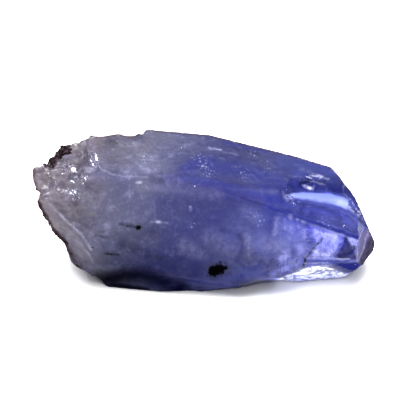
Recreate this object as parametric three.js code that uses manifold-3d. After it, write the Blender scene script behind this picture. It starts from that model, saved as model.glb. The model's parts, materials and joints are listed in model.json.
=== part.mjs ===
// A tanzanite crystal lying on one of its side faces: a long prism with flat, slightly
// tapering faces, a stepped shoulder and small facets at its clear right end, and a broken,
// lumpy left end. Millimetres, +Z up, X along the crystal and Y away from the viewer. The
// origin is on the surface that it rests on, under the middle of its bounding box.

import * as THREE from "three";
import { mergeVertices } from "three/addons/utils/BufferGeometryUtils.js";
import { ImprovedNoise } from "three/addons/math/ImprovedNoise.js";
import Module from "manifold-3d";

const wasm = await Module();
wasm.setup();
const noise = new ImprovedNoise();

// Driving dimensions: the block that the crystal is cut from, which reaches a little below
// the resting face, and the blocks that are cut away from it.
const blankSize = [30, 14, 14];
const blankMargin = 0.5;
const wasteSize = 34;
const roughSize = 16;
const roughCell = 0.25;

// Flat crystal faces. Each one is a point on the face and the way the face looks: its
// bearing, counted from +X towards +Y, and its rise above the horizontal, in degrees.
const crystalFaces = {
  rest: { at: [0, 0, 0], bearing: 0, rise: -90 },
  front: { at: [-4.74, -1.42, 9.25], bearing: -90, rise: 18.3 },
  top: { at: [-4.74, -1.42, 9.25], bearing: -45, rise: 77.3 },
  ridge: { at: [-4.75, -1.38, 9.2], bearing: -82, rise: 49.2 },
  shoulder: { at: [0.39, -1.69, 8.39], bearing: -74, rise: 47.4 },
  backLeft: { at: [-4.06, 3.23, 9.88], bearing: 88.3, rise: 30 },
  backMiddle: { at: [0.39, 3.49, 9.21], bearing: 74.6, rise: 30 },
  backRight: { at: [6.74, 2.44, 8.03], bearing: 69.2, rise: 30 },
  backEnd: { at: [9.02, 1.86, 7.57], bearing: 29.3, rise: 25 },
  backLow: { at: [0, 5.2, 5.4], bearing: 88, rise: -8 },
  backUnder: { at: [0, 2.9, 0], bearing: 86, rise: -38 },
  underLeft: { at: [-0.25, -2.75, 0], bearing: -98, rise: -30 },
  underEdge: { at: [-3, -3.66, 2.25], bearing: -96, rise: -3 },
  underRight: { at: [-0.25, -2.75, 0], bearing: -81.4, rise: -47 },
  endUpper: { at: [10.94, -1.4, 5.97], bearing: -21.6, rise: 26 },
  endFront: { at: [10.94, -2.8, 4.92], bearing: -37.3, rise: 5.6 },
  endTip: { at: [12.07, -1, 2.77], bearing: -24, rise: -9 },
  endBack: { at: [11.12, -0.83, 6.49], bearing: 29.8, rise: 13 },
  endUnder: { at: [11.2, -2.2, 1.9], bearing: -28, rise: -40 },
};

// Breaks. Each one takes away what lies beyond all of its faces. A rough face has lumps of
// the given height and spacing.
const breaks = {
  underChip: [
    { at: [8.73, -1.31, 0], bearing: -82, rise: -36 },
    { at: [6.88, -3.55, 2.69], bearing: -40, rise: -42.5 },
  ],
  rimLedge: [
    { at: [-8, -3.1, 3.7], bearing: -95, rise: 14 },
    { at: [-8.7, -3, 4.6], bearing: -150, rise: -32 },
    { at: [-8.9, -2.8, 4.9], bearing: 170, rise: -60 },
  ],
  leftEnd: [{ at: [-10.3, -1.3, 3.8], bearing: 176, rise: -25, lump: 0.9, spacing: 2.2 }],
  leftStrip: [{ at: [-11.9, -1.8, 8.07], bearing: -119, rise: -6, lump: 0.16, spacing: 1.2 }],
  leftTip: [{ at: [-12.05, -0.4, 7.6], bearing: 172, rise: 22, lump: 0.3, spacing: 1.2 }],
  leftBack: [{ at: [-11, 1.1, 8.5], bearing: 128.5, rise: 14, lump: 0.6, spacing: 1.7 }],
  leftUnder: [{ at: [-9.2, -1.2, 1.6], bearing: -150, rise: -48, lump: 0.3, spacing: 1.6 }],
  leftCorner: [
    { at: [-11.9, -0.5, 8.1], bearing: -153.4, rise: 71.4, lump: 0.9, spacing: 1.15 },
    { at: [-8.3, 1.47, 10.49], bearing: -150.5, rise: 15, lump: 0.15, spacing: 1.1 },
  ],
  backNotch: [
    { at: [-6, 2.66, 9.66], bearing: 95, rise: 52, lump: 0.4, spacing: 1.2 },
    { at: [-4.2, 3, 9.7], bearing: 165, rise: 12, lump: 0.1, spacing: 1 },
  ],
};

// Lumps left standing on the broken end and along the notch in the back edge: the middle of
// each one and its three half widths.
const lumpsOnEnd = [
  { at: [-11.2, -0.35, 7.7], size: [0.85, 1.1, 1] },
  { at: [-10.2, 1.5, 7.9], size: [1, 1.1, 1] },
  { at: [-9.2, 1.9, 8.4], size: [1.1, 1.1, 1] },
  { at: [-7.7, 2.3, 9.05], size: [0.8, 0.7, 0.65] },
  { at: [-6, 2.4, 9.3], size: [1, 0.7, 0.5] },
];
const lumpUnevenness = 0.45;

// Shell-shaped chips: the deepest point of each one, the way its hollow opens, the radius
// of the hollow and how much longer it is along the crystal.
const scoops = [
  { at: [-11.1, -1.1, 7.85], bearing: -120, rise: 55, radius: 1.3, stretch: 1.2 },
  { at: [-9.4, -1.66, 8.15], bearing: -95, rise: 32, radius: 1.5, stretch: 1.1 },
  { at: [-7.5, -0.9, 9.2], bearing: -150, rise: 50, radius: 1.1, stretch: 1 },
  { at: [-11, 0.6, 6.2], bearing: 170, rise: 0, radius: 2.4, stretch: 1 },
  { at: [-9.6, 2.2, 4.6], bearing: 160, rise: -20, radius: 2.8, stretch: 1 },
  { at: [-9.1, 0.3, 2.6], bearing: 180, rise: -30, radius: 2, stretch: 1 },
  { at: [-5.1, 3.05, 9.5], bearing: 100, rise: 50, radius: 0.8, stretch: 1.4 },
  { at: [8.1, 0.75, 7.42], bearing: -70, rise: 75, radius: 0.4, stretch: 2.6 },
  { at: [7.34, 0.28, 6.98], bearing: -75, rise: 45, radius: 0.35, stretch: 2 },
  { at: [4.6, 3.05, 8.2], bearing: 80, rise: 50, radius: 0.9, stretch: 1.6 },
  { at: [-1.5, 3.5, 9.4], bearing: 95, rise: 50, radius: 0.9, stretch: 1.5 },
  { at: [9.9, -2.9, 4.9], bearing: -75, rise: 30, radius: 0.7, stretch: 1.8 },
];
const scoopUnevenness = 0.06;

// The step behind the shoulder: two risers stand round a ledge, which bends down towards the
// right end and rounds off into the shoulder face. The step starts at its end wall.
const step = {
  risers: [
    { at: [6.381, -0.293, 6.975], bearing: -70, rise: 30 },
    { at: [10.239, 0.237, 6.053], bearing: -133.7, rise: 20 },
  ],
  wall: { at: [5.95, -0.4, 7.6], bearing: -28, rise: 34 },
  ledges: [
    { at: [6.667, -1.472, 6.995], bearing: 17.6, rise: 76.5 },
    { at: [9.568, -1.4, 6.325], bearing: -5.2, rise: 62.4 },
  ],
  edgeRadius: 0.8,
  edgeFacets: 5,
};

function fromBearing(bearing, rise) {
  const b = THREE.MathUtils.degToRad(bearing);
  const r = THREE.MathUtils.degToRad(rise);
  return new THREE.Vector3(Math.cos(r) * Math.cos(b), Math.cos(r) * Math.sin(b), Math.sin(r));
}

// A repeatable jitter from 0 to 1 in each of three directions for a cell of a 3D grid.
function cellJitter(i, j, k, direction) {
  const wave = 4758.5 * Math.sin(i * 127.1 + j * 311.7 + k * 74.7 + direction * 53.3);
  return wave - Math.floor(wave);
}

// The squared distance to the nearest of many scattered points, one in each unit cell.
function nearestSquared(x, y, z) {
  let nearest = Infinity;
  for (let i = Math.floor(x) - 1; i <= Math.floor(x) + 1; i += 1) {
    for (let j = Math.floor(y) - 1; j <= Math.floor(y) + 1; j += 1) {
      for (let k = Math.floor(z) - 1; k <= Math.floor(z) + 1; k += 1) {
        const dx = i + cellJitter(i, j, k, 0) - x;
        const dy = j + cellJitter(i, j, k, 1) - y;
        const dz = k + cellJitter(i, j, k, 2) - z;
        nearest = Math.min(nearest, dx * dx + dy * dy + dz * dz);
      }
    }
  }
  return nearest;
}

// How far a rough break stands out: shell-shaped hollows that meet in sharp ridges, over a
// slow swell.
function lumps(point, height, spacing) {
  const { x, y, z } = point.clone().divideScalar(spacing);
  const hollows = nearestSquared(x, y, z);
  const swell = noise.noise(x / 2, y / 2, z / 2);
  const meanHollow = 0.3;
  return height * (hollows - meanHollow + 0.7 * swell);
}

function toSolid(geometry) {
  const bare = geometry.clone();
  bare.deleteAttribute("normal");
  bare.deleteAttribute("uv");
  const merged = mergeVertices(bare, 1e-4);
  return new wasm.Manifold(
    new wasm.Mesh({
      numProp: 3,
      vertProperties: new Float32Array(merged.attributes.position.array),
      triVerts: new Uint32Array(merged.index.array),
    }),
  );
}

function toGeometry(solid) {
  const { vertProperties, triVerts } = solid.getMesh();
  const geometry = new THREE.BufferGeometry();
  geometry.setAttribute("position", new THREE.BufferAttribute(vertProperties, 3));
  geometry.setIndex(new THREE.BufferAttribute(triVerts, 1));
  return geometry.toNonIndexed();
}

// What lies beyond a face, as a block whose inner side is the face. A rough face is a grid
// with its lumps on it, a flat one is a plain square.
function beyond({ at, bearing, rise, lump = 0, spacing = 1 }) {
  const side = lump ? roughSize : wasteSize;
  const cells = lump ? Math.round(roughSize / (spacing * roughCell)) : 1;
  const depth = wasteSize / 2;
  const block = new THREE.BoxGeometry(side, side, depth, cells, cells, 1);
  block.translate(0, 0, depth / 2);
  const look = fromBearing(bearing, rise);
  const turn = new THREE.Quaternion().setFromUnitVectors(new THREE.Vector3(0, 0, 1), look);
  const place = new THREE.Vector3(...at);
  const position = block.attributes.position;
  const point = new THREE.Vector3();
  for (let i = 0; i < position.count; i += 1) {
    point.fromBufferAttribute(position, i);
    const isInner = point.z < depth / 2;
    point.applyQuaternion(turn).add(place);
    if (isInner && lump) point.addScaledVector(look, lumps(point, lump, spacing));
    position.setXYZ(i, point.x, point.y, point.z);
  }
  return toSolid(block);
}

function beyondAll([first, ...others]) {
  return others.reduce((chip, face) => chip.intersect(beyond(face)), beyond(first));
}

function unevenBall(detail, unevenness) {
  const ball = new THREE.IcosahedronGeometry(1, detail);
  const position = ball.attributes.position;
  const point = new THREE.Vector3();
  for (let i = 0; i < position.count; i += 1) {
    point.fromBufferAttribute(position, i);
    const { x, y, z } = point.clone().multiplyScalar(2.1);
    point.multiplyScalar(1 + unevenness * noise.noise(x, y, z));
    position.setXYZ(i, point.x, point.y, point.z);
  }
  return ball;
}

// Each lump and scoop is turned by its own place along the crystal, so no two look alike.
function lumpSolid({ at, size }) {
  const ball = unevenBall(4, lumpUnevenness);
  ball.rotateZ(2 * at[0]);
  ball.scale(...size);
  ball.translate(...at);
  return toSolid(ball);
}

function scoopSolid({ at, bearing, rise, radius, stretch }) {
  const ball = unevenBall(5, scoopUnevenness);
  ball.rotateZ(at[0]);
  ball.scale(radius * stretch, radius, radius);
  const centre = new THREE.Vector3(...at).addScaledVector(fromBearing(bearing, rise), radius);
  ball.translate(...centre.toArray());
  return toSolid(ball);
}

// A ledge and a fan of narrow facets round the edge where it meets the shoulder face. The
// facets touch a cylinder whose centre line is one radius below both.
function ledgeFacets(ledge) {
  const { shoulder } = crystalFaces;
  const ledgeLook = fromBearing(ledge.bearing, ledge.rise);
  const shoulderLook = fromBearing(shoulder.bearing, shoulder.rise);
  const ledgeDepth = ledgeLook.dot(new THREE.Vector3(...ledge.at)) - step.edgeRadius;
  const shoulderDepth = shoulderLook.dot(new THREE.Vector3(...shoulder.at)) - step.edgeRadius;
  const cosine = ledgeLook.dot(shoulderLook);
  const share = 1 - cosine ** 2;
  const centre = new THREE.Vector3()
    .addScaledVector(ledgeLook, (ledgeDepth - cosine * shoulderDepth) / share)
    .addScaledVector(shoulderLook, (shoulderDepth - cosine * ledgeDepth) / share);
  const facets = [ledge];
  for (let i = 1; i <= step.edgeFacets; i += 1) {
    const look = ledgeLook.clone().lerp(shoulderLook, i / (step.edgeFacets + 1)).normalize();
    const at = centre.clone().addScaledVector(look, step.edgeRadius).toArray();
    const bearing = THREE.MathUtils.radToDeg(Math.atan2(look.y, look.x));
    const rise = THREE.MathUtils.radToDeg(Math.asin(look.z));
    facets.push({ at, bearing, rise });
  }
  return facets;
}

function crystalBlank() {
  const box = new THREE.BoxGeometry(...blankSize);
  box.translate(0, 0, blankSize[2] / 2 - blankMargin);
  return toSolid(box);
}

function tanzaniteCrystal() {
  let solid = crystalBlank();
  for (const face of Object.values(crystalFaces)) {
    solid = solid.subtract(beyond(face));
  }
  for (const chipFaces of Object.values(breaks)) {
    solid = solid.subtract(beyondAll(chipFaces));
  }
  for (const item of lumpsOnEnd) {
    solid = solid.add(lumpSolid(item));
  }
  for (const facet of step.ledges.flatMap(ledgeFacets)) {
    solid = solid.subtract(beyondAll([...step.risers, step.wall, facet]));
  }
  for (const item of scoops) {
    solid = solid.subtract(scoopSolid(item));
  }
  return toGeometry(solid);
}

function tanzaniteMaterial() {
  return new THREE.MeshStandardMaterial({ color: 0x5a60a8, roughness: 0.3, metalness: 0 });
}

function crystalMesh() {
  const geometry = tanzaniteCrystal();
  geometry.computeBoundingBox();
  const middle = geometry.boundingBox.getCenter(new THREE.Vector3());
  geometry.translate(-middle.x, -middle.y, 0);
  geometry.computeVertexNormals();
  const mesh = new THREE.Mesh(geometry, tanzaniteMaterial());
  mesh.name = "tanzanite_crystal";
  return mesh;
}

const crystal = new THREE.Group();
crystal.add(crystalMesh());

export default crystal;
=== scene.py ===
# tanzanite crystal on a white table, metres, +X along the crystal, +Z up
import bpy
import bmesh
import json
import math
import random
import numpy as np
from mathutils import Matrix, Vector, noise

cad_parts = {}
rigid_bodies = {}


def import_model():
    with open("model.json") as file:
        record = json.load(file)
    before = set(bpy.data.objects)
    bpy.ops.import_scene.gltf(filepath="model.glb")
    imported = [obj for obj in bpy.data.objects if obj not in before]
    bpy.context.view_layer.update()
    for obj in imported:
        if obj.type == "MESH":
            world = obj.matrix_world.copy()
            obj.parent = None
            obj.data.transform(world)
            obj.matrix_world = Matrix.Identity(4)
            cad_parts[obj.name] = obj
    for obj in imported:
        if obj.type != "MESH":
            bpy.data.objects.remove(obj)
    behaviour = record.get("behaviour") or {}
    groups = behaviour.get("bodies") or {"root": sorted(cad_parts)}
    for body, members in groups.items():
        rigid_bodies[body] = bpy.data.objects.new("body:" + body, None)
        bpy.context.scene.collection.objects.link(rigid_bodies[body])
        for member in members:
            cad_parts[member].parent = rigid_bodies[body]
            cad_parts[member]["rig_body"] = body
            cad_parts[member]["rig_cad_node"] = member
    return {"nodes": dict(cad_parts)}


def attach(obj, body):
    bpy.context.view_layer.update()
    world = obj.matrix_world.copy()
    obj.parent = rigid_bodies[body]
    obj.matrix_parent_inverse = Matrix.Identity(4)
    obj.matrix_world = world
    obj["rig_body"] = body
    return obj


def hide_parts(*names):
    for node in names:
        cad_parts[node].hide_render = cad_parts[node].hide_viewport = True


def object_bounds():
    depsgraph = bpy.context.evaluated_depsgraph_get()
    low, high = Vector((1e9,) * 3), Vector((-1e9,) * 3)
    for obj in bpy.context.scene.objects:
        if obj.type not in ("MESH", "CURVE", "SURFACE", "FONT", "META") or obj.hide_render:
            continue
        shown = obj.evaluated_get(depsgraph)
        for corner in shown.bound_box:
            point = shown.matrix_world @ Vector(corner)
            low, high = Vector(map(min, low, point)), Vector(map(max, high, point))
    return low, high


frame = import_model()
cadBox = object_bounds()
mm = 0.001
noise.seed_set(7)    # without it, each run would shift the drawn marks a little


def deselectAll():
    bpy.ops.object.select_all(action="DESELECT")


def pick(piece):
    deselectAll()
    piece.select_set(True)
    bpy.context.view_layer.objects.active = piece


def applyModifiers(piece):
    pick(piece)
    for modifier in list(piece.modifiers):
        bpy.ops.object.modifier_apply(modifier=modifier.name)


def smoothStep(value, low, high):
    share = min(max((value - low) / (high - low), 0), 1)
    return share * share * (3 - 2 * share)


def look(bearing, rise):
    b, r = math.radians(bearing), math.radians(rise)
    return Vector((math.cos(r) * math.cos(b), math.cos(r) * math.sin(b), math.sin(r)))


# the photo looks down at 36 degrees from the front; seenUp is what is up in it
toCamera = look(-90, 36)
seenUp = (0, 0.588, 0.809)

# the crystal: a merged copy of the solid, remeshed fine, with worn edges and a rough broken end
crystalShape = {
    "merge": 0.0005 * mm,
    "voxel": 0.1 * mm,
    "ridge": [(-8.2, -2.15, 9.1), (-4.74, -2.17, 9.22), (0.4, -2.43, 8.4), (5.7, -2.0, 7.75)],
    "ridgeWidth": 0.55,
    "ridgePasses": 40,
    # edge below the shoulder, seen from the front: x and height
    "shoulderEdge": [(1.0, 5.2), (2.6, 4.62), (4.2, 3.85), (5.8, 3.2), (8.2, 2.45), (10.9, 1.7)],
    "edgeWidth": 0.32,
    "edgePasses": 16,
    "edgeFacing": 0.1,
    "wearPasses": 2,
    # soft pushes, mm: ranges of x and of height as seen from the front, and the move
    "pushes": {
        "worn foot of the clear end": ((2.6, 4.4, 5.2, 6.6), (-4, -3, -1.6, -1.0), (0, 0.36, 0)),
        "foot of the milky end": ((-8.4, -6.8, -3.2, -0.6), (-4, -3, -1.6, -0.9), (0, -0.4, 0)),
        "dent in the upper edge": ((-6.4, -5.6, -4.9, -4.5), (8.0, 9.1, 13, 14), (0, 0, -0.16)),
        "lower left end": ((-14, -13, -10.2, -7.8), (-0.4, 0.6, 1.8, 2.8), (0.2, 0, 0)),
        "brown lump": ((-14, -13, -11.0, -10.0), (2.9, 3.4, 3.9, 4.3), (-0.2, 0, 0)),
        "notch above it": ((-14, -13, -11.2, -10.2), (4.25, 4.65, 5.3, 5.8), (0.28, 0, 0)),
        "big lump": ((-14, -13, -11.9, -11.5), (5.7, 6.2, 9, 10), (-0.05, 0, 0.32)),
        "step beside it": ((-11.5, -11.1, -10.85, -10.5), (6.2, 7.0, 9, 10), (0, 0, -0.2)),
        "crusted lump": ((-10.8, -10.5, -10.35, -10.0), (6.8, 7.5, 12, 13), (0, 0, 0.24)),
        "upper left end": ((-14, -13, -9.0, -7.8), (6.2, 7.4, 12, 13), (0.18, 0, -0.14)),
        "right end": ((10.2, 11.2, 13, 14), (1.35, 1.95, 3.8, 5.0), (-0.18, 0, 0)),
        "below the corner": ((10.8, 11.6, 13, 14), (-0.5, 0.2, 0.75, 1.2), (-0.1, 0, 0)),
    },
    # the rough broken end fades out between these places; pits are all over, coarse and fine
    "brokenEnd": (-9.0, -7.0),
    "hackle": {"height": 0.03, "scale": 1.7, "level": 1.1},
    "pits": {"depth": 0.035, "coarse": (2.3, 0.12), "fine": (6.1, 0.1), "fineShare": 0.4},
    "smoothAngle": 20,
}


def heightSeen(point):
    return seenUp[1] * point.y + seenUp[2] * point.z


def seenFromFront(point):
    # a point in mm as x and height seen from the front
    return Vector((point.x, heightSeen(point)))


def distanceToPath(point, path):
    nearest = 1e9
    for start, end in zip(path, path[1:]):
        start, end = Vector(start), Vector(end)
        step = end - start
        share = min(max((point - start).dot(step) / step.length_squared, 0), 1)
        nearest = min(nearest, (point - start - step * share).length)
    return nearest


def smoothOut(bm, verts, passes):
    for i in range(passes):
        bmesh.ops.smooth_vert(bm, verts=verts, factor=0.5,
                              use_axis_x=True, use_axis_y=True, use_axis_z=True)


def wearEdges(mesh, shape):
    bm = bmesh.new()
    bm.from_mesh(mesh)
    near = [v for v in bm.verts if distanceToPath(v.co / mm, shape["ridge"]) < shape["ridgeWidth"]]
    smoothOut(bm, near, shape["ridgePasses"])
    edge = [v for v in bm.verts if v.normal.dot(toCamera) > shape["edgeFacing"]
            and distanceToPath(seenFromFront(v.co / mm), shape["shoulderEdge"]) < shape["edgeWidth"]]
    smoothOut(bm, edge, shape["edgePasses"])
    smoothOut(bm, bm.verts, shape["wearPasses"])
    bm.to_mesh(mesh)
    bm.free()


def within(value, limits):
    a, b, c, d = limits
    return smoothStep(value, a, b) * (1 - smoothStep(value, c, d))


def pushEnds(mesh, shape):
    for vertex in mesh.vertices:
        point = vertex.co / mm
        height = heightSeen(point)
        for across, upright, move in shape["pushes"].values():
            share = within(point.x, across) * within(height, upright)
            if share > 0:
                vertex.co += Vector(move) * share * mm
    mesh.update()


def pitAt(point, scale, level):
    return min(noise.noise(point * scale) + level, 0)


def roughenSurface(mesh, shape):
    low, high = cadBox
    hackle, pits = shape["hackle"], shape["pits"]
    normals = [v.normal.copy() for v in mesh.vertices]
    for vertex, normal in zip(mesh.vertices, normals):
        point = vertex.co / mm
        broken = 1 - smoothStep(point.x, *shape["brokenEnd"])
        ridges = noise.ridged_multi_fractal(point * hackle["scale"], 0.9, 2.1, 4, 1.0, 2.0) - hackle["level"]
        pitted = pitAt(point, *pits["coarse"]) + pits["fineShare"] * pitAt(point, *pits["fine"])
        moved = (broken * hackle["height"] * ridges + pits["depth"] * pitted) * mm
        place = vertex.co + normal * moved
        vertex.co = [min(max(c, l), h) for c, l, h in zip(place, low, high)]    # stays in the solid's box
    mesh.update()


def makeCrystal(shape):
    source = frame["nodes"]["tanzanite_crystal"]
    pick(source)
    bpy.ops.object.duplicate()
    crystal = bpy.context.view_layer.objects.active
    crystal.name = "crystal"
    crystal.data.name = "crystal"
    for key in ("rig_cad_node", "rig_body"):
        del crystal[key]
    crystal.parent = None
    bpy.ops.object.mode_set(mode="EDIT")
    bpy.ops.mesh.select_all(action="SELECT")
    bpy.ops.mesh.remove_doubles(threshold=shape["merge"])
    bpy.ops.mesh.normals_make_consistent(inside=False)
    bpy.ops.object.mode_set(mode="OBJECT")
    remesh = crystal.modifiers.new("fine mesh", "REMESH")
    remesh.mode = "VOXEL"
    remesh.voxel_size = shape["voxel"]
    applyModifiers(crystal)
    wearEdges(crystal.data, shape)
    pushEnds(crystal.data, shape)
    roughenSurface(crystal.data, shape)
    bpy.ops.object.shade_smooth_by_angle(angle=math.radians(shape["smoothAngle"]))
    print("crystal", len(crystal.data.polygons), "faces")
    return crystal


def connect(material, value, socket):
    if isinstance(value, bpy.types.NodeSocket):
        material.node_tree.links.new(value, socket)
    else:
        socket.default_value = value


def addNode(material, kind, values=None, **settings):
    node = material.node_tree.nodes.new(kind)
    for key, value in settings.items():
        setattr(node, key, value)
    for key, value in (values or {}).items():
        connect(material, value, node.inputs[key])
    return node


def ramp(material, source, stops):
    node = addNode(material, "ShaderNodeValToRGB", {"Fac": source})
    while len(node.color_ramp.elements) < len(stops):
        node.color_ramp.elements.new(1)
    for element, (place, color) in zip(node.color_ramp.elements, stops):
        element.position = place
        element.color = (color, color, color, 1) if isinstance(color, (int, float)) else (*color, 1)
    return node.outputs["Color"]


def calculate(material, kind, *values):
    node = addNode(material, "ShaderNodeMath", operation=kind)
    for socket, value in zip(node.inputs, values):
        connect(material, value, socket)
    return node.outputs["Value"]


def times(material, first, second):
    return calculate(material, "MULTIPLY", first, second)


def larger(material, first, second):
    return calculate(material, "MAXIMUM", first, second)


def without(material, value, cover):
    # what a cover leaves of a value
    return times(material, value, calculate(material, "SUBTRACT", 1, cover))


def blend(material, share, first, second, kind="MIX"):
    node = addNode(material, "ShaderNodeMix", data_type="RGBA", blend_type=kind)
    sockets = (node.inputs["Factor"], node.inputs[6], node.inputs[7])
    for socket, value in zip(sockets, (share, first, second)):
        connect(material, value, socket)
    return node.outputs[2]


def between(material, value, low, high, lowest=0.0, highest=1.0):
    node = addNode(material, "ShaderNodeMapRange", interpolation_type="SMOOTHSTEP")
    for socket, number in zip(node.inputs, (value, low, high, lowest, highest)):
        connect(material, number, socket)
    return node.outputs["Result"]


def stretched(material, place, stretch):
    return addNode(material, "ShaderNodeMapping", {"Vector": place, "Scale": stretch}).outputs[0]


def noiseField(material, place, scale, detail=3, roughness=0.6, out="Fac"):
    values = {"Vector": place, "Scale": scale, "Detail": detail, "Roughness": roughness}
    return addNode(material, "ShaderNodeTexNoise", values).outputs[out]


def stroke(width, strength, *path):
    return {"path": path, "width": width, "strength": strength}


def patch(soft, strength, *outline):
    return {"outline": outline, "soft": soft, "strength": strength}


# shapes that several marks share
# the right facet of the tip, which several marks paint dark as shade
tipFacet = [(11.84, 2.2), (12.7, 1.5), (12.7, 0.7), (11.6, -0.6), (10.92, 0.0)]
# the wedge, painted as a dark reflection of a facet behind it
wedge = [(9.98, 1.95), (9.8, 1.3), (9.4, 0.6), (9.4, 0.3), (10.83, 0.25), (10.4, 1.1)]
streak = [(2.5, 1.95), (2.72, 1.5), (2.65, 0.85), (2.3, 0.15)]
# the lower edge of the shoulder, along which shade is painted
shoulder = [(2.6, 4.64), (3.7, 4.24), (4.5, 3.97), (5.4, 3.61), (6.2, 3.33), (7.5, 2.9), (8.4, 2.57),
            (9.2, 2.34)]

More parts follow.
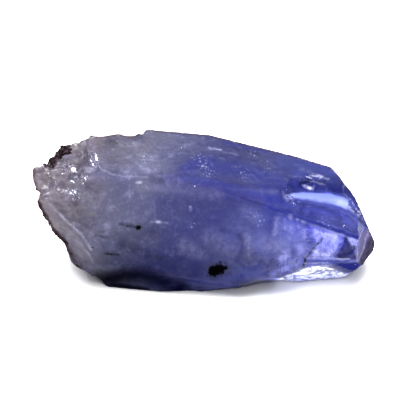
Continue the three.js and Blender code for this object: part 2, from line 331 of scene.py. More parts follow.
# marks on and just under the surface, drawn as seen from the front: x and height in mm;
# a stroke has its width and strength first, a patch its soft edge and strength
marks = {
    "pale": [
        # rim of the strip on the left, and a second line below it
        stroke(0.22, 0.2, (-10.85, 4.15), (-10.09, 3.42)),
        stroke(0.26, 0.3, (-10.09, 3.42), (-9.16, 2.56), (-8.52, 1.92), (-7.88, 0.92)),
        stroke(0.26, 0.22, (-8.95, 1.56), (-8.45, 1.14), (-7.95, 0.42), (-7.8, 0.0)),
        # painted highlight along the edge between the broken end and the top face and along the start of the
        # ridge; then pale veils and a light stroke where the ledge begins
        stroke(0.2, 0.36, (-8.44, 8.66), (-8.16, 7.95), (-7.9, 7.5)),
        stroke(0.18, 0.22, (-7.9, 7.5), (-7.52, 7.03), (-7.1, 6.54), (-6.5, 6.25)),
        stroke(0.18, 0.16, (-6.5, 6.25), (-5.5, 6.1), (-3.9, 5.97)),
        stroke(0.6, 0.14, (-8.5, 8.3), (-8.1, 7.5)),
        stroke(1.4, 0.08, (-4.5, 5.3), (-1.5, 5.0), (1.0, 4.75)),
        stroke(1.2, 0.1, (-8.8, 5.2), (-8.0, 4.6)),
        stroke(1.7, 0.12, (-1.4, 1.2), (-0.2, 0.7)),
        stroke(0.5, 0.2, (5.6, 4.9), (5.95, 4.45)),
        # veils and short dashes
        stroke(2.6, 0.04, (-5.6, 7.9), (-4.3, 7.0), (-3.5, 6.5)),
        stroke(0.8, 0.14, (-4.4, 6.8), (-3.9, 6.5)),
        stroke(0.6, 0.07, (-3.5, 4.6), (-3.75, 3.6), (-4.3, 2.9)),
        stroke(0.24, 0.3, (-3.7, 2.93), (-3.5, 2.9)),
        stroke(0.28, 0.5, (-3.4, 2.89), (-3.0, 2.87)),
        stroke(0.22, 0.25, (-2.95, 2.86), (-2.5, 2.84)),
        stroke(0.34, 0.4, (-4.7, 5.62), (-4.4, 5.66)),
        stroke(0.4, 0.25, (-4.05, 5.45), (-3.95, 5.3)),
        stroke(0.26, 0.5, (-0.92, 3.95), (-0.9, 3.7)),
        stroke(0.24, 0.4, (0.35, 8.1), (1.25, 7.94)),
        stroke(0.24, 0.18, (1.4, 7.8), (2.4, 7.6)),
        stroke(2.4, 0.06, (2.0, 3.0), (3.0, 2.2)),
        stroke(2.0, 0.14, (4.3, 1.5), (5.5, 0.8)),
        stroke(2.4, 0.15, (0.6, 1.7), (2.0, 1.0)),
        stroke(1.4, 0.2, (3.15, 1.8), (3.35, 0.6)),
        stroke(1.6, 0.12, (2.9, 3.6), (3.6, 3.2)),
        stroke(1.6, 0.08, (-8.3, 4.3), (-7.7, 4.0)),
        # glints above the ledge
        patch(0.12, 0.42, (6.9, 5.5), (7.2, 5.5), (7.8, 5.22), (7.7, 5.08), (7.1, 5.26)),
        stroke(0.22, 0.42, (7.5, 6.14), (8.8, 5.92)),
        stroke(0.3, 0.28, (7.6, 5.8), (8.1, 5.66), (8.5, 5.52)),
        stroke(0.5, 0.08, (6.9, 6.6), (7.6, 6.35)),
        stroke(0.24, 0.25, (5.9, 6.1), (6.9, 6.02)),
        # fine lines low on the clear end
        stroke(0.18, 0.5, (7.24, 0.36), (10.3, 0.26)),
        stroke(0.18, 0.4, (7.1, -0.02), (8.7, 0.0)),
        stroke(0.3, 1.0, (10.34, -0.81), (10.81, -0.6), (11.21, -0.29)),
        # the edges of the tip
        stroke(0.18, 0.3, (11.25, 2.38), (10.8, 1.4), (10.82, 0.1)),
        stroke(0.18, 0.26, (11.6, 2.2), (11.3, 1.1), (10.9, 0.1)),
        # streaks and specks in the lit part of the clear end
        stroke(0.6, 0.22, (5.15, 3.1), (5.0, 2.0)),
        stroke(0.3, 0.22, (5.7, 3.1), (5.75, 2.3)),
        stroke(0.5, 0.3, (6.1, 3.3), (6.2, 2.1)),
        stroke(0.3, 0.3, (6.6, 3.0), (6.7, 2.4)),
        stroke(0.6, 0.25, (7.0, 2.8), (7.1, 1.7)),
        stroke(0.5, 0.35, (8.0, 2.1), (9.3, 1.9)),
        stroke(0.5, 0.6, (8.1, 0.75), (8.7, 0.6), (9.0, 0.8)),
        stroke(0.4, 0.4, (7.7, 0.9), (8.0, 0.7)),
    ],
    "milk": [
        # milky strip and lumps on the left
        patch(0.5, 0.3, (-11.8, 5.0), (-10.9, 4.0), (-10.0, 3.3), (-9.1, 2.4), (-8.5, 1.8), (-8.0, 0.8),
              (-8.6, -0.3), (-9.6, 0.8), (-10.4, 2.0), (-11.3, 3.5), (-11.9, 4.4)),
        stroke(1.2, 0.35, (-11.2, 6.2), (-11.4, 5.4)),
    ],
    "ledge_highlight": [
        # painted highlight: the pale band of the ledge
        patch(0.24, 1.0, (5.9, 4.8), (6.39, 4.94), (7.64, 4.97), (8.88, 4.9), (9.77, 4.7), (10.24, 4.5),
              (10.3, 4.2), (10.1, 3.76), (9.57, 4.0), (8.8, 4.22), (7.64, 4.42), (6.67, 4.52)),
        patch(0.3, 0.36, (9.9, 4.6), (10.24, 4.45), (10.63, 4.05), (11.05, 3.5), (11.3, 3.1),
              (11.3, 2.8), (10.73, 3.4), (10.0, 3.85)),
    ],
    "lit": [
        # the part of the clear end that is lit from behind, and the foot of the shoulder
        stroke(1.5, 0.22, (8.4, 3.2), (9.6, 2.9), (10.8, 2.6)),
        stroke(2.2, 0.55, (5.5, 0.2), (6.4, 0.6), (7.0, 1.0)),
        stroke(1.2, 0.5, (4.9, -0.7), (6.6, -0.1)),
        patch(0.5, 0.68, (7.5, 2.6), (9.0, 2.2), (9.8, 1.95), (9.4, 1.0), (9.1, 0.6), (9.1, 0.3),
              (7.2, 0.3), (7.9, 1.3)),
        stroke(1.0, 0.3, (8.5, 1.5), (9.0, 1.0)),
        patch(0.2, 0.8, (10.1, 1.8), (10.95, 1.65), (11.0, 1.2), (10.35, 1.25)),
        patch(1.6, 0.2, (4.8, 3.5), (7.3, 2.7), (7.9, 1.2), (7.0, -0.2), (5.2, -0.5), (3.6, 0.2),
              (4.0, 1.8)),
    ],
    "floor_reflection": [
        # painted reflection of the bright floor, with cracks, where the chip under the right end begins
        patch(0.2, 0.9, (4.9, -1.3), (5.6, -1.0), (6.12, -0.8), (6.68, -0.6), (7.1, -0.45), (7.1, -1.3),
              (6.68, -1.4), (5.97, -1.46)),
        patch(0.2, 1.0, (6.9, -0.5), (7.18, -0.38), (7.74, -0.24), (8.59, -0.22), (9.01, -0.38),
              (9.51, -0.6), (10.4, -0.84), (10.1, -1.1), (9.3, -1.15), (8.38, -1.25), (7.53, -1.33),
              (6.8, -1.36)),
        stroke(0.2, 0.8, (4.9, -1.45), (5.4, -1.4)),
    ],
    "flakes": [
        # painted glints: small bright faces on the broken end
        patch(0.14, 1.0, (-9.3, 6.75), (-8.95, 6.8), (-8.9, 6.35), (-9.35, 6.3)),
        patch(0.12, 0.8, (-9.75, 6.45), (-9.5, 6.5), (-9.55, 6.25)),
        patch(0.12, 0.7, (-10.25, 6.2), (-9.9, 6.3), (-10.0, 6.1)),
        patch(0.12, 0.9, (-9.35, 5.78), (-9.0, 5.8), (-9.1, 5.5)),
        patch(0.12, 0.62, (-8.3, 6.2), (-8.12, 6.2), (-8.18, 5.72), (-8.4, 5.6)),
        patch(0.12, 0.6, (-8.75, 5.65), (-8.4, 5.6), (-8.6, 5.4)),
        patch(0.12, 0.9, (-9.7, 5.15), (-9.4, 5.2), (-9.1, 4.8), (-9.35, 4.75)),
        patch(0.1, 0.7, (-9.3, 5.2), (-9.0, 5.15), (-8.85, 4.75), (-9.1, 4.9)),
        patch(0.1, 0.7, (-9.2, 4.6), (-8.95, 4.65), (-9.0, 4.4)),
        patch(0.12, 0.7, (-7.75, 7.75), (-7.5, 7.6), (-7.3, 7.1), (-7.5, 7.15)),
        patch(0.12, 0.62, (-8.1, 7.4), (-7.9, 7.4), (-7.45, 6.55), (-7.65, 6.6)),
        patch(0.1, 0.5, (-8.15, 7.2), (-8.0, 7.25), (-7.8, 6.9), (-7.95, 6.85)),
        patch(0.14, 0.35, (-11.1, 5.4), (-10.7, 5.55), (-10.8, 5.25)),
        patch(0.14, 0.4, (-10.5, 5.8), (-10.2, 5.75), (-10.3, 5.4)),
        patch(0.1, 0.6, (-8.05, 4.6), (-7.8, 4.65), (-7.9, 4.45)),
        patch(0.1, 0.4, (-8.7, 4.55), (-8.5, 4.6), (-8.6, 4.4)),
    ],
    "black": [
        # graphite just under the front face
        patch(0.8, 1.0, (0.28, -0.62), (0.45, -0.22), (0.85, -0.02), (1.2, -0.06), (1.6, -0.14),
              (1.8, -0.4), (1.55, -0.7), (1.2, -0.92), (0.75, -0.98), (0.45, -0.86)),
        stroke(2.4, 0.22, (0.7, -0.5), (1.4, -0.45)),
        stroke(0.7, 0.8, (-4.62, 2.5), (-4.52, 2.46)),
        stroke(0.5, 0.38, (-5.0, 2.58), (-5.5, 2.68)),
        stroke(0.3, 0.7, (-10.25, 1.0), (-10.1, 0.98)),
        stroke(0.24, 0.7, (-6.75, 0.66), (-6.4, 0.62)),
        stroke(0.34, 0.75, (-7.85, 1.1), (-7.75, 1.04)),
        stroke(0.5, 0.42, (2.2, -1.9), (3.6, -1.68), (4.8, -1.5)),
        # crack in the clear end
        stroke(0.24, 0.6, (8.4, 1.74), (7.75, 1.05), (7.2, 0.3), (7.0, -0.3)),
    ],
    "faint": [
        # faint dark dashes on the left, and a shadow round the graphite
        stroke(0.5, 0.75, (-4.7, 2.52), (-5.25, 2.64), (-5.8, 2.74)),
        stroke(0.34, 0.8, (-6.9, 0.68), (-6.0, 0.54)),
        stroke(1.7, 0.3, (-10.4, 7.7), (-9.4, 7.3), (-8.8, 7.4)),
        stroke(0.3, 0.5, (-7.6, 1.95), (-6.6, 1.76)),
        stroke(0.26, 0.4, (-7.4, 2.2), (-6.9, 2.15)),
        stroke(0.36, 0.6, (-3.8, 0.46), (-2.9, 0.32)),
        stroke(0.3, 0.35, (-8.3, 2.7), (-7.6, 2.65)),
        stroke(1.7, 0.55, (0.6, -0.5), (1.5, -0.4)),
        stroke(0.9, 0.5, (-4.6, 2.5), (-4.5, 2.48)),
        stroke(0.5, 0.25, (-4.2, 5.0), (-2.3, 4.8)),
        stroke(0.5, 0.4, (-9.2, 4.2), (-8.4, 4.0)),
        # painted shade at the foot right of the middle and at the end of the ledge
        stroke(0.8, 0.5, (2.6, -1.6), (4.4, -1.35)),
        stroke(0.6, 0.5, (10.7, 3.7), (11.2, 2.9)),
        # painted shade along the ridge
        stroke(0.9, 0.36, (-6.6, 6.42), (-5.2, 6.3), (-3.4, 5.95)),
        stroke(1.3, 0.34, (-3.4, 5.95), (-1.7, 5.55), (1.2, 5.1), (4.0, 4.2)),
        stroke(0.6, 0.5, (-3.6, 6.2), (-2.9, 6.3)),
        stroke(0.9, 0.2, (-2.8, 6.3), (-1.2, 6.3)),
        # dark streak right of the middle, the crack, the painted dark reflection in the wedge and the painted
        # shade on the tip facet
        stroke(0.5, 0.5, *streak),
        stroke(0.26, 0.6, (8.35, 1.78), (7.75, 1.05), (7.2, 0.3), (7.0, -0.3)),
        stroke(0.2, 0.3, (7.9, 1.2), (7.2, 1.5), (6.7, 1.45)),
        patch(0.3, 0.8, *tipFacet),
        patch(0.14, 0.62, *wedge),
    ],
    "deep": [
        # painted shade: the foot of the front face darkens towards the floor
        stroke(1.0, 0.9, (-1.0, -2.1), (2.0, -2.0), (5.0, -1.7), (6.6, -1.5)),
        # dark streak right of the middle, and the smudge by the crack
        stroke(0.7, 0.85, *streak),
        stroke(1.0, 0.75, (6.35, 0.8), (6.3, 0.55)),
        stroke(0.5, 0.5, (4.9, 1.1), (4.85, 0.9)),
        # darker zone between the middle and the clear end, and the top face right of the middle
        stroke(1.7, 0.7, (4.3, 5.2), (4.7, 4.2), (4.8, 3.2), (4.6, 1.6)),
        stroke(0.9, 0.85, (4.6, 3.95), (6.1, 3.5)),
        stroke(0.6, 0.6, (1.5, 8.5), (3.0, 8.2), (4.6, 7.85)),
        stroke(0.9, 0.6, (2.2, -1.5), (3.4, -1.35), (4.6, -1.2)),
        stroke(2.2, 0.6, (0.4, 6.7), (2.4, 6.6), (5.2, 5.6)),
        stroke(1.8, 0.72, (-1.4, 6.4), (-0.2, 7.1), (0.6, 7.0)),
        stroke(0.5, 0.6, (9.7, 5.5), (9.9, 4.9)),
        stroke(0.8, 0.2, (9.0, 6.0), (10.4, 4.9), (11.2, 3.6)),
        # painted dark reflection in the wedge, and painted shade on a dark facet in the clear end
        patch(0.14, 1.0, *wedge),
        stroke(0.3, 0.6, (7.3, -0.02), (8.6, 0.06), (10.2, 0.08)),
        patch(0.16, 1.0, (8.73, -0.14), (10.0, -0.04), (10.85, -0.1), (11.2, -0.3), (10.8, -0.62),
              (10.36, -0.83), (9.86, -0.66), (9.3, -0.36)),
        # painted shade on the riser behind the ledge, which faces away from the light, and in the corner
        # where the ledge begins
        patch(0.5, 0.8, (5.3, 5.0), (5.9, 5.7), (6.9, 5.9), (8.31, 5.7), (9.95, 5.2), (9.9, 4.85),
              (7.6, 5.1), (6.0, 5.05), (5.4, 4.2)),
        stroke(0.9, 0.4, (5.2, 3.9), (6.9, 3.4), (8.6, 3.3)),
        stroke(1.6, 0.3, (6.4, 3.9), (8.4, 3.4), (10.4, 2.6)),
        stroke(0.7, 0.85, (3.2, 4.4), (4.9, 3.75), (6.1, 3.3), (7.3, 2.9)),
        # painted shade on the right facet of the tip and along the lower edge of the shoulder
        patch(0.3, 1.0, *tipFacet),
        stroke(0.5, 0.95, *shoulder, (10.9, 1.75)),
        # painted shade on the narrow facet between the ridge and the shoulder
        stroke(1.6, 0.55, (0.5, 5.4), (3.0, 4.95), (5.6, 4.5)),
    ],
    "haze": [
        # less clear below the upper right edge and right of the middle
        stroke(2.6, 0.9, (6.0, 7.2), (7.6, 6.7), (9.2, 6.1), (10.2, 5.2)),
        stroke(4.4, 0.7, (3.2, 2.6), (5.0, 1.8), (6.4, 1.4)),
    ],
    "mauve": [
        # less blue along the ridge
        stroke(1.8, 0.14, (-3.4, 5.95), (-1.7, 5.55), (1.2, 5.1), (4.0, 4.3)),
        # the two facets of the tip
        patch(0.2, 0.75, (11.02, 1.94), (11.65, 2.51), (11.84, 1.94), (10.92, 0.15), (10.73, 0.4)),
        patch(0.2, 1.0, *tipFacet),
    ],
    "dull": [
        # worn edges that don't glint: the ridge, the ledge, the shoulder, the tip and the end above the
        # broken face; on the clear end they are also painted darker, as shade
        stroke(1.8, 0.95, (-8.2, 6.1), (-4.7, 6.22), (0.4, 5.4), (2.6, 4.8), (5.7, 4.3)),
        stroke(1.1, 1.0, (5.7, 4.6), (7.64, 4.45), (8.8, 4.25), (9.57, 4.0), (10.15, 3.72), (10.73, 3.3),
               (11.45, 2.6)),
        stroke(0.9, 1.0, (1.0, 5.2), *shoulder, (10.9, 1.7)),
        stroke(1.2, 0.9, (9.2, 5.3), (10.2, 4.8), (11.0, 4.0), (11.7, 2.8)),
        stroke(1.7, 0.95, (-12.0, 6.6), (-11.8, 5.2), (-11.6, 4.4), (-11.2, 3.4), (-10.6, 2.6),
               (-10.1, 1.8), (-9.5, 0.9), (-8.9, 0.0), (-8.2, -0.7)),
        stroke(1.8, 0.9, (-10.4, 7.8), (-9.4, 7.4), (-8.8, 7.4)),
        patch(0.4, 1.0, (8.5, 0.1), (10.95, 0.15), (11.5, -0.25), (10.9, -0.9), (9.9, -0.5)),
        stroke(0.9, 0.8, (6.8, 0.1), (8.6, 0.16), (10.6, 0.2)),
        patch(0.5, 0.95, (11.0, 2.3), (11.8, 2.8), (12.9, 1.6), (12.9, 0.6), (11.6, -0.8), (10.7, 0.1)),
        patch(0.2, 1.0, (11.75, 2.3), (12.9, 1.6), (12.9, 0.6), (11.6, -0.8), (10.85, 0.0)),
        stroke(1.3, 0.85, (-6.4, 8.9), (-5.4, 8.7), (-4.6, 8.8)),
        stroke(0.9, 0.9, (-8.5, 7.0), (-7.9, 6.5)),
        stroke(0.9, 0.8, (-5.6, -0.6), (-2.7, -1.0), (0.5, -1.45), (2.6, -1.7)),
        stroke(1.6, 0.9, (-8.5, 8.9), (-7.95, 8.05), (-7.5, 7.35), (-7.02, 6.62), (-6.0, 6.2)),
    ],
    "stain": [
        # film of host rock on the upper left rim, and along the lower left edge
        stroke(1.4, 0.9, (-10.75, 7.1), (-10.45, 7.5), (-10.1, 7.85), (-9.75, 8.0)),
        stroke(0.8, 0.5, (-11.55, 4.0), (-11.35, 3.5)),
        stroke(0.8, 0.72, (-11.6, 4.2), (-11.2, 3.4), (-10.75, 2.5), (-10.25, 1.9), (-9.7, 1.35)),
        stroke(0.8, 0.45, (-9.7, 1.35), (-9.45, 0.7), (-9.0, -0.1), (-8.4, -0.75)),
        stroke(2.6, 0.36, (-8.9, -0.5), (-7.8, -0.9), (-6.8, -1.0)),
    ],
    "painted_shade": [
        # painted shade: the left half grows dark towards the floor, and smaller strokes darken spots higher
        # up
        stroke(3.9, 1.0, (-7.0, -1.3), (-5.6, -0.9), (-4.2, -0.9), (-1.6, -1.8)),
        stroke(6.5, 0.6, (-6.3, -0.2), (-3.0, -0.4), (-1.0, -0.9)),
        stroke(4.6, 0.55, (-2.4, -1.4), (0.2, -1.6), (3.2, -1.3)),
        stroke(1.6, 1.0, (-7.2, -1.4), (-5.6, -1.7), (-4.0, -1.95)),
        stroke(3.2, 0.46, (-5.8, 1.6), (-4.4, 1.7), (-3.6, 2.2)),
        stroke(1.5, 0.4, (-10.0, 1.7), (-9.2, 0.6), (-8.6, 0.0)),
        stroke(2.8, 0.66, (-5.6, 1.2), (-4.1, 0.5)),
        stroke(0.9, 0.35, (-3.6, 5.9), (-3.0, 5.8)),
        stroke(0.5, 0.45, (-9.4, 6.0), (-8.7, 6.05)),
        stroke(1.2, 0.2, (-10.0, 7.3), (-9.0, 7.0)),
        stroke(1.2, 0.35, (-6.6, 8.6), (-5.4, 8.5), (-4.4, 8.8)),
        stroke(1.3, 0.3, (-11.5, 5.8), (-11.2, 5.2)),
        stroke(1.0, 0.3, (-11.8, 6.9), (-11.4, 6.4)),
    ],
    "sparkle": [
        # painted glints: bright bits on the broken end
        stroke(1.4, 0.6, (-9.6, 6.75), (-9.1, 6.3)),
        stroke(1.3, 0.7, (-9.4, 5.1), (-9.0, 4.75)),
        stroke(1.0, 0.6, (-8.5, 5.7), (-8.3, 6.1)),
        stroke(0.9, 0.45, (-10.9, 5.5), (-10.2, 5.6)),
        stroke(1.0, 0.7, (-8.0, 7.6), (-7.5, 6.9)),
        # clusters on the top and the front
        stroke(1.5, 0.42, (-0.3, 7.3), (0.2, 6.6), (0.35, 6.3)),
        stroke(1.3, 0.4, (2.7, 6.35), (3.1, 6.1)),
        stroke(0.6, 0.68, (-1.55, 8.15), (-1.5, 8.1)),
        stroke(0.6, 0.6, (-0.65, 5.34), (-0.6, 5.3)),
        stroke(1.0, 0.56, (3.4, 7.6), (3.5, 7.5)),
        stroke(1.3, 0.56, (4.4, 6.85), (4.5, 6.7)),
        stroke(1.3, 0.6, (3.45, 3.4), (3.9, 3.0)),
        stroke(1.0, 0.68, (5.75, 5.1), (6.2, 4.5), (6.5, 4.15)),
        stroke(0.9, 0.52, (8.3, 3.0), (8.8, 2.7)),
        stroke(1.2, 0.45, (3.0, 1.5), (3.2, 0.7)),
        stroke(1.3, 0.3, (-4.2, 7.5), (-3.8, 6.6)),
        stroke(0.4, 0.8, (3.4, -1.72), (4.4, -1.66)),
    ],
}
# dark rims just inside the outline, as seen from the front: reach in mm, and from where to where they run
rims = {
    "top": {"reach": 0.14, "soft": 0.14, "from": -8.8, "to": 9.4, "strength": 0.75},
    "right": {"reach": 0.1, "soft": 0.1, "from": 2.0, "to": 7.2, "strength": 0.8},
    "left": {"reach": 0.2, "soft": 0.36, "from": 1.2, "to": 6.9, "strength": 0.85},
}
# only faces turned to the front take the marks, and a small wobble keeps their edges uneven
drawing = {"facing": (-0.08, 0.06), "wobbleScale": 2.2, "wobble": 0.07, "bin": 0.12, "rimEnds": 0.6}


def softEdge(distance, edge, soft):
    share = np.clip((edge + soft / 2 - distance) / soft, 0, 1)
    return share * share * (3 - 2 * share)


def distanceToLine(points, line):
    nearest = np.full(len(points), 1e9)
    for start, end in zip(np.array(line[:-1]), np.array(line[1:])):
        step = end - start
        share = np.clip((points - start) @ step / (step @ step), 0, 1)
        nearest = np.minimum(nearest, np.linalg.norm(points - start - share[:, None] * step, axis=1))
    return nearest


def insideOutline(points, outline):
    inside = np.zeros(len(points), bool)
    x, h = points.T
    for (x1, h1), (x2, h2) in zip(outline, outline[1:] + outline[:1]):
        if h1 != h2:
            crosses = (h1 > h) != (h2 > h)
            inside ^= crosses & (x < x1 + (h - h1) / (h2 - h1) * (x2 - x1))
    return inside


def markShare(points, mark):
    if "path" in mark:
        reach = mark["width"] / 2
        return softEdge(distanceToLine(points, mark["path"]), reach / 2, reach) * mark["strength"]
    outline = mark["outline"]
    away = distanceToLine(points, outline + outline[:1])
    away[insideOutline(points, outline)] *= -1
    return softEdge(away, 0, mark["soft"]) * mark["strength"]


def insideEdge(along, across):
    # how far each point lies inside the outline
    bins = np.round(along / drawing["bin"]).astype(int)
    bins -= bins.min()
    outermost = np.full(bins.max() + 1, -1e9)
    np.maximum.at(outermost, bins, across)
    return outermost[bins] - across


def drawRims(seen):
    x, h = seen.T
    sides = {"top": (x, h), "right": (h, x), "left": (h, -x)}
    total = np.zeros(len(seen))
    for name, rim in rims.items():
        along, across = sides[name]
        ends = softEdge(-along, -rim["from"], drawing["rimEnds"])
        ends = ends * softEdge(along, rim["to"], drawing["rimEnds"])
        share = softEdge(insideEdge(along, across), rim["reach"], rim["soft"]) * ends * rim["strength"]
        if name == "right":
            share[x < 0] = 0
        total = np.maximum(total, share)
    return total


def addLayer(mesh, name, values):
    layer = mesh.attributes.new(name, "FLOAT", "POINT")
    layer.data.foreach_set("value", values.astype(np.float32))


def drawMarks(mesh):
    verts = mesh.vertices
    co = np.array([v.co for v in verts]) / mm
    normals = np.array([v.normal for v in verts])
    facing = 1 - softEdge(normals @ np.array(toCamera), *drawing["facing"])
    seen = np.column_stack((co[:, 0], co[:, 1] * toCamera.z + co[:, 2] * -toCamera.y))
    addLayer(mesh, "rim", drawRims(seen) * facing)
    wobble = np.array([noise.noise_vector(v.co / mm * drawing["wobbleScale"])[:2] for v in verts])
    seen += wobble * drawing["wobble"]
    for name, group in marks.items():
        total = np.zeros(len(verts))
        for mark in group:
            total = np.maximum(total, markShare(seen, mark))
        addLayer(mesh, name, total * facing)
    print("marks drawn", len(marks))


tanzanite = {
    # colour, clearness, roughness and shine along the crystal, x in mm
    "colors": [(-11.5, (0.19, 0.168, 0.18)), (-8.5, (0.11, 0.1, 0.125)), (-4.5, (0.093, 0.096, 0.163)),
               (-1.0, (0.038, 0.043, 0.15)), (2.0, (0.028, 0.034, 0.165)), (5.0, (0.075, 0.09, 0.3)),
               (9.0, (0.14, 0.16, 0.5)), (12.0, (0.2, 0.22, 0.55))],
    "clear": [(-12.0, 0.25), (-4.0, 0.4), (1.0, 0.6), (5.0, 0.85), (9.0, 0.92)],
    "rough": [(-11.0, 0.2), (-7.5, 0.24), (-6.0, 0.45), (3.0, 0.4), (6.0, 0.25), (9.0, 0.12)],
    "shine": [(-9.0, 0.14), (-7.0, 0.12), (-5.5, 0.05), (6.0, 0.06), (9.0, 0.1)],
    # the zones lean over, turning at a height of pivot, their border wavers, and span is the length
    "tilt": 0.42,
    "pivot": 4.5,
    "waver": 7,
    "span": 24,
    "absorb": (0.40, 0.42, 0.80, 1),
    "density": 280,
    "ior": 1.69,
    "dust": (0.44, 0.43, 0.64, 1),
    # pale marks: veils and specks, with painted highlights along some edges
    "pale": (0.62, 0.62, 0.78, 1),
    "lit": (0.36, 0.37, 0.68, 1),
    # painted highlight of the ledge band
    "ledge_highlight": (0.172, 0.203, 0.45, 1),
    # painted shade on edges that don't glint
    "dull_edge_shade": (0.04, 0.045, 0.16, 1),
    "rim": (0.045, 0.025, 0.03, 1),
    "milk": (0.17, 0.15, 0.165, 1),
    # painted reflection of the floor
    "floor_reflection": (0.75, 0.78, 0.95, 1),
    "black": (0.002, 0.002, 0.002, 1),
    # faint dark, for dashes and for marks of painted shade
    "faint": (0.02, 0.017, 0.03, 1),
    "haze": (0.042, 0.048, 0.13, 1),
    # deep blue, for the mottling and for marks of painted shade
    "deep": (0.02, 0.024, 0.13, 1),
    "mauve": (0.14, 0.125, 0.21, 1),
    "stain": (0.06, 0.04, 0.05, 1),
    "crust": (0.008, 0.005, 0.008, 1),
    # painted shade, multiplied into the colour
    "painted_shade_left": (0.05, 0.042, 0.042, 1),
    "painted_shade_right": (0.032, 0.042, 0.16, 1),
    # painted shade in hollows of the broken end
    "hollow": (0.07, 0.06, 0.09, 1),
    # painted glints on the broken end
    "flakes": (0.75, 0.78, 0.95, 1),
    # how much of the clearness each mark takes away
    "covers": {"black": 1.0, "faint": 1.0, "stain": 1.0, "painted_shade": 0.9, "deep": 0.85, "mauve": 1.0, "floor_reflection": 0.9,
               "lit": 0.9, "milk": 0.7, "haze": 0.85, "ledge_highlight": 1.0, "rim": 1.0, "dull": 0.97, "flakes": 1.0},
}


def crystalMaterial():
    m = bpy.data.materials.new("tanzanite")
    m.use_nodes = True
    shader = m.node_tree.nodes["Principled BSDF"]
    place = addNode(m, "ShaderNodeTexCoord").outputs["Object"]
    drawn = {name: addNode(m, "ShaderNodeAttribute", attribute_name=name).outputs["Fac"]
             for name in [*marks, "rim"]}
    # zones along the crystal; they lean to the left lower down and their border wavers
    split = addNode(m, "ShaderNodeSeparateXYZ", {0: place})
    height = addNode(m, "ShaderNodeVectorMath", {0: place, 1: seenUp}, operation="DOT_PRODUCT")
    waver = noiseField(m, place, 260, 4)
    shift = tanzanite["pivot"] * tanzanite["tilt"] - tanzanite["waver"] / 2
    along = calculate(m, "MULTIPLY_ADD", waver, tanzanite["waver"] * mm, shift * mm)
    along = calculate(m, "MULTIPLY_ADD", height.outputs["Value"], -tanzanite["tilt"], along)
    along = calculate(m, "ADD", split.outputs["X"], along)
    along = calculate(m, "MULTIPLY_ADD", along, 1 / (tanzanite["span"] * mm), 0.5)
    color, clear, rough, shine = (
        ramp(m, along, [(x / tanzanite["span"] + 0.5, value) for x, value in tanzanite[key]])
        for key in ("colors", "clear", "rough", "shine"))
    # mottling, from millimetre blotches down to fine grain
    blotch = noiseField(m, place, 700, 3, 0.6)
    blue = between(m, along, 0.3, 0.62, 0.25, 1.0)
    color = blend(m, times(m, blue, between(m, blotch, 0.4, 0.7, 0.0, 0.5)), color, tanzanite["deep"])
    veil = noiseField(m, place, 1100, 4, 0.7)
    milky = between(m, along, 0.64, 0.3, 0.15, 1.0)
    color = blend(m, times(m, milky, between(m, veil, 0.5, 0.75, 0.0, 0.24)), color, tanzanite["dust"])
    grain = noiseField(m, place, 4200, 3, 0.75)
    color = blend(m, times(m, blue, between(m, grain, 0.3, 0.52, 0.45, 0.0)), color, tanzanite["deep"])
    color = blend(m, times(m, milky, between(m, grain, 0.52, 0.75, 0.0, 0.16)), color, tanzanite["dust"])
    # broken end: darker noise patches, painted as shade in hollows
    broken = between(m, split.outputs["X"], -7 * mm, -9 * mm)
    hollow = times(m, broken, between(m, noiseField(m, place, 1500, 3, 0.6), 0.4, 0.62))
    color = blend(m, times(m, hollow, 0.55), color, tanzanite["hollow"])
    # painted shade: on the clear end, edges that don't glint are painted darker blue
    dull_edge_shade = times(m, drawn["dull"], between(m, along, 0.58, 0.75))
    color = blend(m, dull_edge_shade, color, tanzanite["dull_edge_shade"])
    # drawn marks; noise breaks up their edges
    crumble = noiseField(m, place, 3000, 4, 0.7)

    def ragged(share, low, high, rough=1.1):
        edge = calculate(m, "MULTIPLY_ADD", crumble, rough, calculate(m, "SUBTRACT", share, rough / 2 - 0.55))
        return times(m, between(m, edge, low, high), between(m, share, 0.02, 0.15))

    # sparkle marks, painted glints on the broken end and bright specks elsewhere, broken up by fine noise
    chips = noiseField(m, place, 5200, 2, 0.9)
    sparkle = times(m, drawn["sparkle"], between(m, chips, 0.56, 0.66))
    pale = times(m, drawn["pale"], between(m, crumble, 0.36, 0.62, 0.25, 1.0))
    pale = larger(m, pale, sparkle)
    dots = addNode(m, "ShaderNodeTexVoronoi", {"Vector": place, "Scale": 1300})
    dotSize = between(m, noiseField(m, place, 700, 2), 0.45, 0.75, 0.0, 0.11)
    dot = between(m, calculate(m, "SUBTRACT", dotSize, dots.outputs["Distance"]), 0.0, 0.04, 0.0, 0.45)
    drawn["pale"] = larger(m, pale, dot)
    bend = noiseField(m, place, 900, 2, 0.5, "Color")
    bent = addNode(m, "ShaderNodeVectorMath", {0: bend, 1: (0.0012, 0.0012, 0.0012), 2: place},
                   operation="MULTIPLY_ADD").outputs[0]
    bent = stretched(m, bent, (0.55, 1, 1))
    cracks = addNode(m, "ShaderNodeTexVoronoi", {"Vector": bent, "Scale": 1100}, feature="DISTANCE_TO_EDGE")
    crackWidth = between(m, crumble, 0.4, 0.6, 0.01, 0.12)
    drawn["flakes"] = ragged(drawn["flakes"], 1.1, 1.5, 3.4)
    drawn["black"] = ragged(drawn["black"], 0.85, 1.35, 2.0)
    drawn["stain"] = ragged(drawn["stain"], 0.7, 1.2)
    # painted reflection of the floor in the chip, cut by a network of crack lines
    floor_reflection = times(m, drawn["floor_reflection"], between(m, cracks.outputs["Distance"], 0.0, crackWidth, 0.15, 1.0))
    drawn["floor_reflection"] = times(m, floor_reflection, between(m, noiseField(m, place, 1500, 2), 0.3, 0.5, 0.45, 1.0))
    drawn["painted_shade"] = times(m, drawn["painted_shade"], between(m, blotch, 0.2, 0.5, 0.85, 1.0))
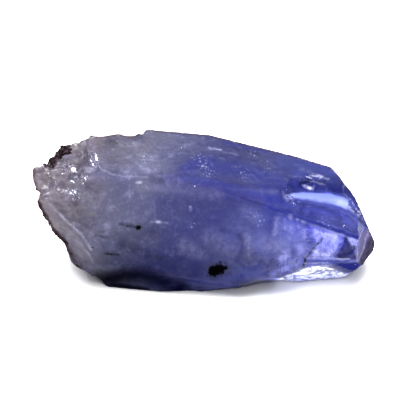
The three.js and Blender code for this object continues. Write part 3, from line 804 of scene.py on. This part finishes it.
    # the noise goes from its first to its second value, and leaves the third of a mark at the least
    for name, low, high, least in (("deep", 0.3, 0.6, 0.8), ("mauve", 0.35, 0.6, 0.9),
                                   ("faint", 0.3, 0.6, 0.5), ("lit", 0.3, 0.65, 0.65),
                                   ("rim", 0.35, 0.6, 0.6)):
        drawn[name] = times(m, drawn[name], between(m, crumble, low, high, least, 1.0))
    streaks = noiseField(m, stretched(m, place, (1, 0.3, 0.14)), 2600, 3, 0.7)
    drawn["lit"] = times(m, drawn["lit"], between(m, streaks, 0.35, 0.6, 0.7, 1.05))
    # the ledge band painted as a highlight, the lit part painted as light, and the deep and faint marks, many
    # of them painted shade
    for name in ("haze", "ledge_highlight", "lit", "milk", "deep", "mauve", "faint"):
        color = blend(m, drawn[name], color, tanzanite[name])
    rock = blend(m, between(m, crumble, 0.42, 0.56), tanzanite["crust"], tanzanite["stain"])
    color = blend(m, drawn["stain"], color, rock)
    # painted shade: the shade marks multiply the colour darker
    shade = blend(m, blue, tanzanite["painted_shade_left"], tanzanite["painted_shade_right"])
    color = blend(m, drawn["painted_shade"], color, shade, "MULTIPLY")
    # then rims, graphite, the floor reflection and the glints painted on the broken end, and the pale marks,
    # part of them painted highlights
    for name in ("rim", "black", "floor_reflection", "flakes", "pale"):
        color = blend(m, drawn[name], color, tanzanite[name])
    # covered places lose their clearness; graphite, painted shade, rims and dull edges also lose their shine
    covered = drawn["pale"]
    for name, share in tanzanite["covers"].items():
        covered = larger(m, covered, times(m, drawn[name], share))
    clear = without(m, clear, covered)
    for name in ("black", "painted_shade", "rim", "dull"):
        shine = without(m, shine, drawn[name])
    connect(m, color, shader.inputs["Base Color"])
    connect(m, clear, shader.inputs["Transmission Weight"])
    connect(m, rough, shader.inputs["Roughness"])
    connect(m, tanzanite["ior"], shader.inputs["IOR"])
    connect(m, shine, shader.inputs["Specular IOR Level"])
    # growth lines along the crystal and etched grain
    lines = noiseField(m, stretched(m, place, (0.08, 1, 1)), 1400, 3, 0.6)
    etched = noiseField(m, place, 2600, 3, 0.65)
    relief = calculate(m, "MULTIPLY_ADD", lines, 0.6, times(m, etched, 0.5))
    flakes = addNode(m, "ShaderNodeTexVoronoi", {"Vector": bent, "Scale": 1300}).outputs["Distance"]
    relief = calculate(m, "MULTIPLY_ADD", times(m, flakes, broken), 2.6, relief)
    bump = addNode(m, "ShaderNodeBump", {"Height": relief, "Strength": 0.35, "Distance": 0.06 * mm})
    connect(m, bump.outputs["Normal"], shader.inputs["Normal"])
    inside = {"Color": tanzanite["absorb"], "Density": tanzanite["density"]}
    absorption = addNode(m, "ShaderNodeVolumeAbsorption", inside)
    connect(m, absorption.outputs["Volume"], m.node_tree.nodes["Material Output"].inputs["Volume"])
    return m


crystal = makeCrystal(crystalShape)
drawMarks(crystal.data)
crystal.data.materials.clear()
crystal.data.materials.append(crystalMaterial())
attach(crystal, "root")
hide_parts("tanzanite_crystal")
print("crystal ready")


# dark grains: graphite at the front face, and bits of host rock stuck in the broken end
grains = {
    "graphite": [
        {"at": (0.95, -4.28, 2.56), "size": (0.24, 0.1, 0.14)},
        {"at": (0.72, -4.25, 2.5), "size": (0.12, 0.07, 0.09)},
        {"at": (1.28, -4.29, 2.6), "size": (0.14, 0.08, 0.08)},
        {"at": (1.02, -4.25, 2.38), "size": (0.11, 0.06, 0.08)},
        {"at": (-4.6, -3.34, 5.58), "size": (0.12, 0.08, 0.11)},
        {"at": (-4.5, -3.36, 5.5), "size": (0.08, 0.06, 0.08)},
        {"at": (-5.14, -3.27, 5.68), "size": (0.09, 0.05, 0.05)},
    ],
    "colors": {"graphite": [(0.35, (0.001, 0.001, 0.001)), (0.7, (0.008, 0.007, 0.008))],
               "rock": [(0.35, (0.006, 0.004, 0.006)), (0.7, (0.05, 0.034, 0.04))]},
    "roughness": {"graphite": 0.7, "rock": 0.8},
    # count, size, and the part of the edge they sit on, from the lowest to the highest place
    "crust": [{"count": 70, "size": (0.06, 0.15), "heights": (6.6, 9.2), "toX": -9.2},
              {"count": 26, "size": (0.06, 0.14), "heights": (-0.4, 4.8), "toX": -8.4}],
    "sides": ((0.8, 1.5), (0.8, 1.2), (0.6, 1.0)),
    "depth": 0.5,
    "thickFrom": 0.35,
    "apart": 0.1,
    "mixing": 37.1,
    "shine": 0.03,
    "detail": 3,
    "uneven": 0.35,
    "lumps": 1.8,
}


def makeGrain(name, at, size, seed):
    bpy.ops.mesh.primitive_ico_sphere_add(subdivisions=grains["detail"], radius=1)
    grain = bpy.context.active_object
    grain.name = name
    grain.data.name = name
    for vertex in grain.data.vertices:
        point = vertex.co * grains["lumps"] + Vector((seed * 7.3, 0, 0))
        swell = 1 + grains["uneven"] * noise.fractal(point, 1.0, 2.0, 3)
        vertex.co = Vector(c * s for c, s in zip(vertex.co * swell, size)) * mm + Vector(at) * mm
    for face in grain.data.polygons:
        face.use_smooth = True
    return grain


def grainMaterial(kind):
    m = bpy.data.materials.new(kind)
    m.use_nodes = True
    shader = m.node_tree.nodes["Principled BSDF"]
    place = addNode(m, "ShaderNodeTexCoord").outputs["Object"]
    flakes = noiseField(m, place, 6000, 3)
    connect(m, ramp(m, flakes, grains["colors"][kind]), shader.inputs["Base Color"])
    connect(m, grains["roughness"][kind], shader.inputs["Roughness"])
    connect(m, grains["shine"], shader.inputs["Specular IOR Level"])
    bump = addNode(m, "ShaderNodeBump", {"Height": flakes, "Strength": 0.6, "Distance": 0.03 * mm})
    connect(m, bump.outputs["Normal"], shader.inputs["Normal"])
    return m


def crustPlaces(mesh, part):
    # points on the surface where the film of host rock is thick, not too near to one another
    stain = np.zeros(len(mesh.vertices), np.float32)
    mesh.attributes["stain"].data.foreach_get("value", stain)
    lowest, highest = part["heights"]
    thick = []
    for vertex, share in zip(mesh.vertices, stain):
        point = vertex.co / mm
        inPart = point.x < part["toX"] and lowest < heightSeen(point) < highest
        if inPart and share > grains["thickFrom"]:
            thick.append((point, vertex.normal.copy()))
    # mixed by their place, so that every run gives the same ones
    thick.sort(key=lambda item: noise.cell(item[0] * grains["mixing"]))
    places = []
    for place, normal in thick:
        if len(places) == part["count"]:
            break
        if all((place - other).length > grains["apart"] for other, side in places):
            places.append((place, normal))
    return places


rocks = []
for part in grains["crust"]:
    for place, normal in crustPlaces(crystal.data, part):
        draw = random.Random(round(place.x * 1000) + round(place.y * 1000))
        radius = draw.uniform(*part["size"])
        size = tuple(radius * draw.uniform(*limits) for limits in grains["sides"])
        rocks.append({"at": place - normal * radius * grains["depth"], "size": size})
grains["rock"] = rocks
for kind, name in (("graphite", "graphite_spots"), ("rock", "host_rock")):
    made = [makeGrain(name, item["at"], item["size"], i + 1) for i, item in enumerate(grains[kind])]
    deselectAll()
    for grain in made:
        grain.select_set(True)
    bpy.context.view_layer.objects.active = made[0]
    bpy.ops.object.join()
    made[0].data.materials.append(grainMaterial(kind))
    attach(made[0], "root")
print("grains in place")


# floor, light and camera
floorLook = {"side": 4.0, "color": (0.92, 0.92, 0.92, 1), "roughness": 0.6}
bpy.ops.mesh.primitive_plane_add(size=floorLook["side"], location=(0, 0, 0))
floor = bpy.context.active_object
floor.name = "floor"
floorMaterial = bpy.data.materials.new("white table")
floorMaterial.use_nodes = True
floorShader = floorMaterial.node_tree.nodes["Principled BSDF"]
floorShader.inputs["Base Color"].default_value = floorLook["color"]
floorShader.inputs["Roughness"].default_value = floorLook["roughness"]
floor.data.materials.append(floorMaterial)

world = bpy.data.worlds.new("studio")
bpy.context.scene.world = world
world.use_nodes = True
world.node_tree.nodes["Background"].inputs["Color"].default_value = (1, 1, 1, 1)
world.node_tree.nodes["Background"].inputs["Strength"].default_value = 0.3
bpy.context.scene.view_settings.view_transform = "Standard"
bpy.context.scene.view_settings.look = "High Contrast"

lamps = {
    "back": {"at": (0.16, 0.42, 0.2), "size": (0.4, 0.2), "power": 1.5},
    "front": {"at": (0.12, -0.4, 0.3), "size": (0.25, 0.25), "power": 0.75},
    "top": {"at": (-0.07, -0.08, 0.41), "size": (0.36, 0.3), "power": 3.4},
}
lampAim = Vector((0, 0, 0.005))
for name, lamp in lamps.items():
    bpy.ops.object.light_add(type="AREA", location=lamp["at"])
    light = bpy.context.active_object
    light.name = name
    light.data.shape = "RECTANGLE"
    light.data.size, light.data.size_y = lamp["size"]
    light.data.energy = lamp["power"]
    toAim = lampAim - Vector(lamp["at"])
    light.rotation_euler = toAim.to_track_quat("-Z", "Y").to_euler()

view = {"aim": (-0.2445 * mm, 0, 5.46 * mm), "width": 28.27 * mm, "lens": 600, "sensor": 36}
reach = view["width"] / 2 * view["lens"] / (view["sensor"] / 2)
bpy.ops.object.camera_add(location=Vector(view["aim"]) + toCamera * reach)
camera = bpy.context.active_object
camera.rotation_euler = (-toCamera).to_track_quat("-Z", "Y").to_euler()
camera.data.lens = view["lens"]
camera.data.sensor_width = view["sensor"]
camera.data.clip_start = 0.01
camera.data.clip_end = 10
bpy.context.scene.camera = camera
print("table, light and camera ready")
